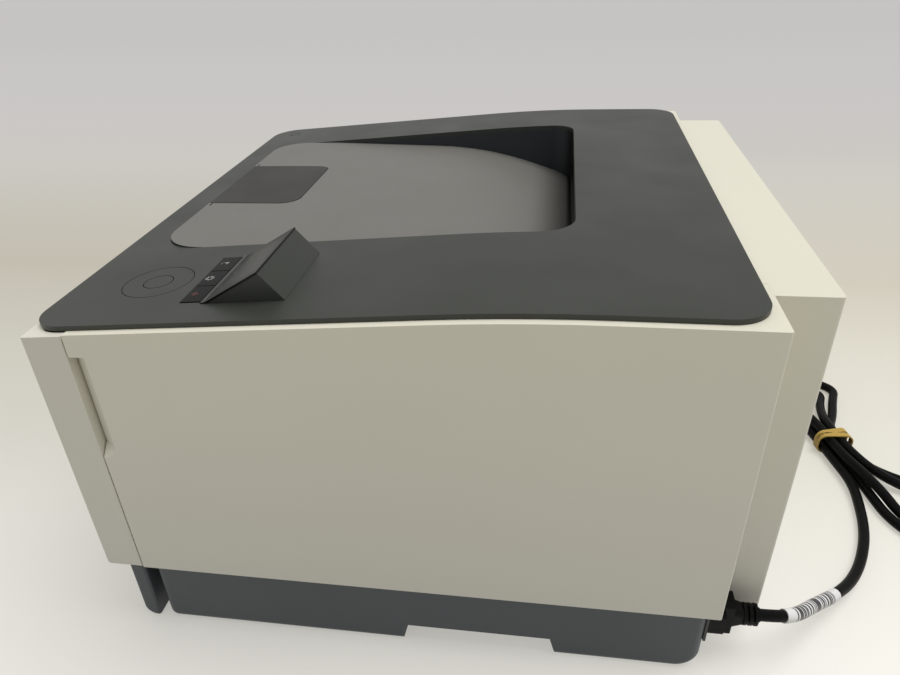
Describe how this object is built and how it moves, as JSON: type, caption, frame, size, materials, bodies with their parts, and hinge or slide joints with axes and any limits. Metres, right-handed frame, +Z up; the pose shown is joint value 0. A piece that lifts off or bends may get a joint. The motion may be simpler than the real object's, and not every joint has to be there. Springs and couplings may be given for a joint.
{
  "type": "color laser printer",
  "caption": "Desktop color laser printer with an output bin in its sloped lid, a front door, a paper tray and a tied mains cord.",
  "frame": {"origin": "centre of the printer's footprint on the desk, under the rubber feet", "axes": "+Z up, -Y toward the front door, +X toward the side with the mains inlet"},
  "size_m": [0.4304, 0.5881, 0.2371],
  "materials": {
    "white_shell": "fine textured, pale warm white",
    "dark_shell": "fine textured, dark grey",
    "base_grey": "satin, dark blue grey",
    "bin_grey": "fine textured, mid grey",
    "flap_grey": "satin",
    "key_black": "glossy",
    "display_black": "glossy, with a grey display field",
    "steel": "plain sheet",
    "shaft_steel": "ground",
    "black_plastic": "satin",
    "engine_plastic": "glass-filled, dull",
    "drum_blue": "glossy coating",
    "roller_rubber": "ground rubber",
    "belt_film": "semi-gloss film",
    "gear_white": "natural acetal",
    "board_green": "solder resist",
    "motor_metal": "cast",
    "tray_dark": "satin, dark blue grey",
    "guide_grey": "satin",
    "foot_rubber": "dull",
    "mirror_metal": "polished",
    "screw_steel": "zinc plated",
    "cord_black": "semi-gloss flexible sheath",
    "band_tan": "dull tan"
  },
  "bodies": {
    "body": {"base_frame": "base_grey", "rubber_feet": "foot_rubber", "right_side_panel": "white_shell", "left_side_panel": "white_shell", "top_cover": "dark_shell", "output_bin": "bin_grey", "rear_housing": "white_shell", "case_screws": "screw_steel", "display_housing": "dark_shell", "display_window": "display_black", "control_board": "board_green", "right_frame_plate": "steel", "left_frame_plate": "steel", "laser_scanner": "engine_plastic", "transfer_belt": "belt_film", "fuser_frame": "engine_plastic", "main_motor": "motor_metal", "fan_housing": "black_plastic", "power_supply_board": "board_green", "main_board": "board_green", "inlet_socket": "black_plastic", "cord_connector": "cord_black", "cord_lead": "cord_black", "cord_hank": "cord_black", "cord_tie": "band_tan", "mains_plug": "cord_black"},
    "front_door": {"front_door": "white_shell"},
    "drawer": {"cartridge_drawer": "black_plastic", "toner_cartridge_yellow": "black_plastic", "toner_cartridge_magenta": "black_plastic", "toner_cartridge_cyan": "black_plastic", "toner_cartridge_black": "black_plastic"},
    "rear_door": {"rear_door": "white_shell"},
    "stop_flap": {"paper_stop_flap": "flap_grey"},
    "tray": {"paper_tray": "tray_dark", "separation_pad": "roller_rubber"},
    "lift_plate": {"lift_plate": "steel"},
    "right_guide": {"right_paper_guide": "guide_grey"},
    "left_guide": {"left_paper_guide": "guide_grey"},
    "back_key": {"back_key": "key_black"},
    "setup_key": {"setup_key": "key_black"},
    "cancel_key": {"cancel_key": "key_black"},
    "arrow_ring": {"arrow_ring": "dark_shell"},
    "ok_button": {"ok_button": "dark_shell"},
    "power_button": {"power_button": "dark_shell"},
    "mirror": {"polygon_mirror": "mirror_metal"},
    "pinion": {"motor_pinion": "shaft_steel"},
    "gear": {"reduction_gear": "gear_white"},
    "belt_front_roller": {"belt_front_roller": "shaft_steel"},
    "belt_drive_roller": {"belt_drive_roller": "shaft_steel"},
    "transfer_roller": {"transfer_roller": "roller_rubber"},
    "fuser_roller": {"fuser_roller": "roller_rubber"},
    "pressure_roller": {"pressure_roller": "roller_rubber"},
    "pickup_roller": {"pickup_roller": "roller_rubber"},
    "exit_roller": {"exit_roller": "roller_rubber"},
    "fan": {"fan_rotor": "black_plastic"},
    "drum_yellow": {"drum_yellow": "drum_blue"},
    "drum_magenta": {"drum_magenta": "drum_blue"},
    "drum_cyan": {"drum_cyan": "drum_blue"},
    "drum_black": {"drum_black": "drum_blue"}
  },
  "joints": [
    {"name": "front_door_hinge", "type": "hinge", "parent": "body", "child": "front_door", "pos_m": [0, -0.1835, 0.058], "axis": [1, 0, 0], "range_deg": [0, 84]},
    {"name": "drawer_slide", "type": "slide", "parent": "body", "child": "drawer", "axis": [0, -1, 0], "range_m": [0, 0.134]},
    {"name": "rear_door_hinge", "type": "hinge", "parent": "body", "child": "rear_door", "pos_m": [0, 0.1865, 0.071], "axis": [-1, 0, 0], "range_deg": [0, 80]},
    {"name": "stop_flap_hinge", "type": "hinge", "parent": "body", "child": "stop_flap", "pos_m": [0, -0.1676, 0.21545], "axis": [1, 0, 0], "range_deg": [0, 108]},
    {"name": "tray_slide", "type": "slide", "parent": "body", "child": "tray", "axis": [0, -1, 0], "range_m": [0, 0.26]},
    {"name": "lift_plate_hinge", "type": "hinge", "parent": "tray", "child": "lift_plate", "pos_m": [0, 0.034, 0.012], "axis": [1, 0, 0], "range_deg": [0, 11]},
    {"name": "right_guide_slide", "type": "slide", "parent": "tray", "child": "right_guide", "axis": [-1, 0, 0], "range_m": [0, 0.054]},
    {"name": "left_guide_slide", "type": "slide", "parent": "tray", "child": "left_guide", "axis": [1, 0, 0], "range_m": [0, 0.054]},
    {"name": "back_key_press", "type": "slide", "parent": "body", "child": "back_key", "axis": [0, 0.0747, -0.9972], "range_m": [0, 0.0006], "stiffness_N_per_m": 900},
    {"name": "setup_key_press", "type": "slide", "parent": "body", "child": "setup_key", "axis": [0, 0.0747, -0.9972], "range_m": [0, 0.0006], "stiffness_N_per_m": 900},
    {"name": "cancel_key_press", "type": "slide", "parent": "body", "child": "cancel_key", "axis": [0, 0.0747, -0.9972], "range_m": [0, 0.0006], "stiffness_N_per_m": 900},
    {"name": "ok_button_press", "type": "slide", "parent": "body", "child": "ok_button", "axis": [0, 0.0747, -0.9972], "range_m": [0, 0.0008], "stiffness_N_per_m": 900},
    {"name": "power_button_press", "type": "slide", "parent": "body", "child": "power_button", "axis": [0, 0.0747, -0.9972], "range_m": [0, 0.0008], "stiffness_N_per_m": 900},
    {"name": "arrow_ring_rock", "type": "hinge", "parent": "body", "child": "arrow_ring", "pos_m": [0.143, -0.14383, 0.21417], "axis": [1, 0, 0], "range_deg": [-1.5, 1.5], "stiffness_Nm_per_rad": 0.3},
    {"name": "mirror_spin", "type": "hinge", "parent": "body", "child": "mirror", "pos_m": [0, -0.024, 0.164], "axis": [0, 0, 1], "continuous": true},
    {"name": "pinion_spin", "type": "hinge", "parent": "body", "child": "pinion", "pos_m": [0, 0.03, 0.132], "axis": [1, 0, 0], "continuous": true},
    {"name": "gear_spin", "type": "hinge", "parent": "body", "child": "gear", "pos_m": [0, 0, 0.132], "axis": [1, 0, 0], "continuous": true},
    {"name": "belt_front_spin", "type": "hinge", "parent": "body", "child": "belt_front_roller", "pos_m": [0, -0.13, 0.0808], "axis": [1, 0, 0], "continuous": true},
    {"name": "belt_drive_spin", "type": "hinge", "parent": "body", "child": "belt_drive_roller", "pos_m": [0, 0.092, 0.0808], "axis": [1, 0, 0], "continuous": true},
    {"name": "transfer_spin", "type": "hinge", "parent": "body", "child": "transfer_roller", "pos_m": [0, 0.1099, 0.0808], "axis": [1, 0, 0], "continuous": true},
    {"name": "fuser_spin", "type": "hinge", "parent": "body", "child": "fuser_roller", "pos_m": [0, 0.09985, 0.148], "axis": [1, 0, 0], "continuous": true},
    {"name": "pressure_spin", "type": "hinge", "parent": "body", "child": "pressure_roller", "pos_m": [0, 0.12515, 0.148], "axis": [1, 0, 0], "continuous": true},
    {"name": "pickup_spin", "type": "hinge", "parent": "body", "child": "pickup_roller", "pos_m": [0, 0.104, 0.055], "axis": [1, 0, 0], "continuous": true},
    {"name": "exit_spin", "type": "hinge", "parent": "body", "child": "exit_roller", "pos_m": [0, 0.092, 0.204], "axis": [1, 0, 0], "continuous": true},
    {"name": "fan_spin", "type": "hinge", "parent": "body", "child": "fan", "pos_m": [0, -0.07, 0.11], "axis": [1, 0, 0], "continuous": true},
    {"name": "drum_yellow_spin", "type": "hinge", "parent": "drawer", "child": "drum_yellow", "pos_m": [0, -0.118, 0.1027], "axis": [1, 0, 0], "continuous": true},
    {"name": "drum_magenta_spin", "type": "hinge", "parent": "drawer", "child": "drum_magenta", "pos_m": [0, -0.064, 0.1027], "axis": [1, 0, 0], "continuous": true},
    {"name": "drum_cyan_spin", "type": "hinge", "parent": "drawer", "child": "drum_cyan", "pos_m": [0, -0.01, 0.1027], "axis": [1, 0, 0], "continuous": true},
    {"name": "drum_black_spin", "type": "hinge", "parent": "drawer", "child": "drum_black", "pos_m": [0, 0.044, 0.1027], "axis": [1, 0, 0], "continuous": true}
  ],
  "couplings": [
    {"joint": "drawer_slide", "follows": "front_door_hinge", "m_per_rad": 0.09},
    {"joint": "left_guide_slide", "follows": "right_guide_slide", "ratio": 1},
    {"joint": "gear_spin", "follows": "belt_drive_spin", "ratio": 3},
    {"joint": "pinion_spin", "follows": "belt_drive_spin", "ratio": -9},
    {"joint": "belt_front_spin", "follows": "belt_drive_spin", "ratio": 1},
    {"joint": "transfer_spin", "follows": "belt_drive_spin", "ratio": -1.2},
    {"joint": "fuser_spin", "follows": "belt_drive_spin", "ratio": 0.8},
    {"joint": "pressure_spin", "follows": "belt_drive_spin", "ratio": -0.73846},
    {"joint": "pickup_spin", "follows": "belt_drive_spin", "ratio": -0.68571},
    {"joint": "exit_spin", "follows": "belt_drive_spin", "ratio": 1.3714},
    {"joint": "drum_yellow_spin", "follows": "belt_drive_spin", "ratio": -0.8},
    {"joint": "drum_magenta_spin", "follows": "belt_drive_spin", "ratio": -0.8},
    {"joint": "drum_cyan_spin", "follows": "belt_drive_spin", "ratio": -0.8},
    {"joint": "drum_black_spin", "follows": "belt_drive_spin", "ratio": -0.8}
  ]
}
